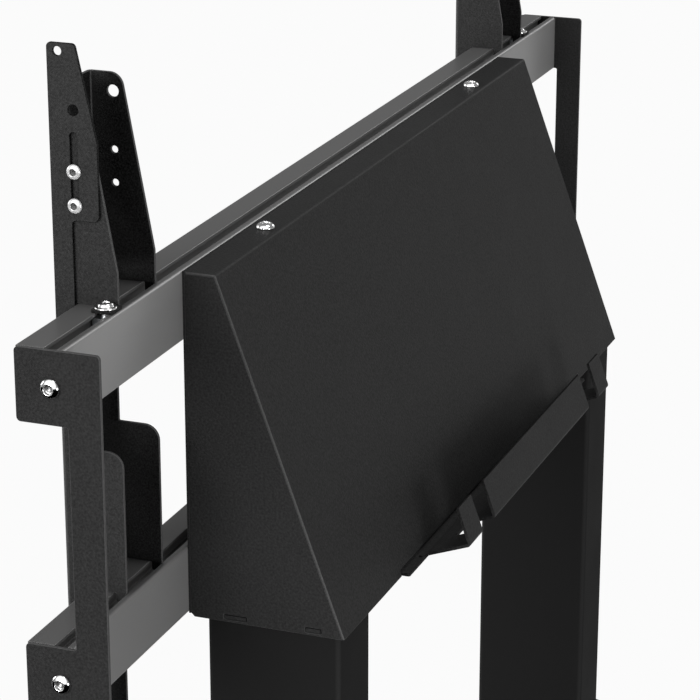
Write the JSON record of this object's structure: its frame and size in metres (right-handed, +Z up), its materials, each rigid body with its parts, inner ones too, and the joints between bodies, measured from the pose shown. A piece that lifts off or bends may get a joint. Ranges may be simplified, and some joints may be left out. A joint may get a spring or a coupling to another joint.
{
  "type": "motorized tv trolley",
  "caption": "Motorized lift trolley for a large screen: aluminium rails with sliding screen strips, black housing with a laptop ledge, telescopic columns and a base on braked swivel castors.",
  "frame": {"origin": "on the ground, at the middle of the trolley's footprint", "axes": "+X to the right end of the rails, +Y to the operator's side, +Z up; the screen side is -Y"},
  "size_m": [1.368, 0.842, 1.89],
  "materials": {
    "anodised_aluminium": "satin dark grey anodised",
    "black_powder_coat": "satin black powder coat with a fine texture",
    "black_column_paint": "smooth satin black paint",
    "bright_plated_steel": "bright plated",
    "zinc_plated_steel": "zinc plated",
    "spindle_nut_brass": "machined",
    "black_plastic": "moulded, fine grain",
    "black_rubber": "matt"
  },
  "bodies": {
    "base": {"outer_tube_right": "black_column_paint", "outer_tube_left": "black_column_paint", "push_tubes": "zinc_plated_steel", "spindle_nuts": "spindle_nut_brass", "guide_collars": "black_plastic", "leg_right": "black_powder_coat", "leg_left": "black_powder_coat", "leg_caps": "black_plastic", "cross_beam": "black_powder_coat", "base_bolts": "zinc_plated_steel", "castor_plates": "zinc_plated_steel", "castor_screws": "zinc_plated_steel"},
    "head": {"rail_upper": "anodised_aluminium", "rail_lower": "anodised_aluminium", "end_bracket_right": "black_powder_coat", "end_bracket_left": "black_powder_coat", "button_bolts": "bright_plated_steel", "box_cover": "black_powder_coat", "box_side_right": "black_powder_coat", "box_side_left": "black_powder_coat", "box_floor": "black_powder_coat", "box_back": "black_powder_coat", "ledge": "black_powder_coat", "ledge_screws": "zinc_plated_steel", "carrier_right": "black_powder_coat", "carrier_left": "black_powder_coat", "carrier_bolts": "zinc_plated_steel", "column_bolts": "zinc_plated_steel", "inner_tube_right": "black_column_paint", "inner_tube_left": "black_column_paint", "glide_shoes": "black_plastic", "lift_motors": "zinc_plated_steel", "lift_spindles": "zinc_plated_steel", "control_unit": "black_plastic", "power_inlet": "black_plastic"},
    "strip_right_set": {"strip_right": "black_powder_coat", "extension_screws_right": "bright_plated_steel", "slot_nut_right": "zinc_plated_steel"},
    "extension_right_plate": {"extension_right": "black_powder_coat"},
    "clamp_bolt_right_bolt": {"clamp_bolt_right": "bright_plated_steel"},
    "strip_left_set": {"strip_left": "black_powder_coat", "extension_screws_left": "bright_plated_steel", "slot_nut_left": "zinc_plated_steel"},
    "extension_left_plate": {"extension_left": "black_powder_coat"},
    "clamp_bolt_left_bolt": {"clamp_bolt_left": "bright_plated_steel"},
    "castor_front_right_fork": {"castor_fork_front_right": "zinc_plated_steel"},
    "castor_front_right_wheel": {"castor_wheel_front_right": "black_plastic", "castor_tyre_front_right": "black_rubber"},
    "castor_front_left_fork": {"castor_fork_front_left": "zinc_plated_steel"},
    "castor_front_left_wheel": {"castor_wheel_front_left": "black_plastic", "castor_tyre_front_left": "black_rubber"},
    "castor_rear_right_fork": {"castor_fork_rear_right": "zinc_plated_steel"},
    "castor_rear_right_wheel": {"castor_wheel_rear_right": "black_plastic", "castor_tyre_rear_right": "black_rubber"},
    "castor_rear_left_fork": {"castor_fork_rear_left": "zinc_plated_steel"},
    "castor_rear_left_wheel": {"castor_wheel_rear_left": "black_plastic", "castor_tyre_rear_left": "black_rubber"},
    "brake_right_pedal": {"brake_pedal_right": "black_plastic"},
    "brake_left_pedal": {"brake_pedal_left": "black_plastic"}
  },
  "joints": [
    {"name": "lift", "type": "slide", "parent": "base", "child": "head", "axis": [0, 0, 1], "range_m": [-0.385, 0.16]},
    {"name": "strip_right_slide", "type": "slide", "parent": "head", "child": "strip_right_set", "axis": [1, 0, 0], "range_m": [-0.46, 0.08]},
    {"name": "extension_right_slide", "type": "slide", "parent": "strip_right_set", "child": "extension_right_plate", "axis": [0, 0, 1], "range_m": [-0.029, 0]},
    {"name": "clamp_bolt_right_turn", "type": "hinge", "parent": "strip_right_set", "child": "clamp_bolt_right_bolt", "pos_m": [0.5725, -0.0591, 1.673], "axis": [0, 0, 1], "range_deg": [0, 360]},
    {"name": "strip_left_slide", "type": "slide", "parent": "head", "child": "strip_left_set", "axis": [1, 0, 0], "range_m": [-0.08, 0.456]},
    {"name": "extension_left_slide", "type": "slide", "parent": "strip_left_set", "child": "extension_left_plate", "axis": [0, 0, 1], "range_m": [-0.029, 0]},
    {"name": "clamp_bolt_left_turn", "type": "hinge", "parent": "strip_left_set", "child": "clamp_bolt_left_bolt", "pos_m": [-0.5645, -0.0591, 1.673], "axis": [0, 0, 1], "range_deg": [0, 360]},
    {"name": "castor_front_right_swivel", "type": "hinge", "parent": "base", "child": "castor_front_right_fork", "pos_m": [0.402, -0.365, 0.11], "axis": [0, 0, 1], "continuous": true},
    {"name": "castor_front_right_roll", "type": "hinge", "parent": "castor_front_right_fork", "child": "castor_front_right_wheel", "pos_m": [0.402, -0.329, 0.05], "axis": [1, 0, 0], "continuous": true},
    {"name": "castor_front_left_swivel", "type": "hinge", "parent": "base", "child": "castor_front_left_fork", "pos_m": [-0.402, -0.365, 0.11], "axis": [0, 0, 1], "continuous": true},
    {"name": "castor_front_left_roll", "type": "hinge", "parent": "castor_front_left_fork", "child": "castor_front_left_wheel", "pos_m": [-0.402, -0.329, 0.05], "axis": [1, 0, 0], "continuous": true},
    {"name": "castor_rear_right_swivel", "type": "hinge", "parent": "base", "child": "castor_rear_right_fork", "pos_m": [0.402, 0.311, 0.11], "axis": [0, 0, 1], "continuous": true},
    {"name": "castor_rear_right_roll", "type": "hinge", "parent": "castor_rear_right_fork", "child": "castor_rear_right_wheel", "pos_m": [0.402, 0.347, 0.05], "axis": [1, 0, 0], "continuous": true},
    {"name": "castor_rear_left_swivel", "type": "hinge", "parent": "base", "child": "castor_rear_left_fork", "pos_m": [-0.402, 0.311, 0.11], "axis": [0, 0, 1], "continuous": true},
    {"name": "castor_rear_left_roll", "type": "hinge", "parent": "castor_rear_left_fork", "child": "castor_rear_left_wheel", "pos_m": [-0.402, 0.347, 0.05], "axis": [1, 0, 0], "continuous": true},
    {"name": "brake_right_press", "type": "hinge", "parent": "castor_rear_right_fork", "child": "brake_right_pedal", "pos_m": [0.402, 0.371, 0.10401], "axis": [-1, 0, 0], "range_deg": [0, 15]},
    {"name": "brake_left_press", "type": "hinge", "parent": "castor_rear_left_fork", "child": "brake_left_pedal", "pos_m": [-0.402, 0.371, 0.10401], "axis": [-1, 0, 0], "range_deg": [0, 15]}
  ]
}
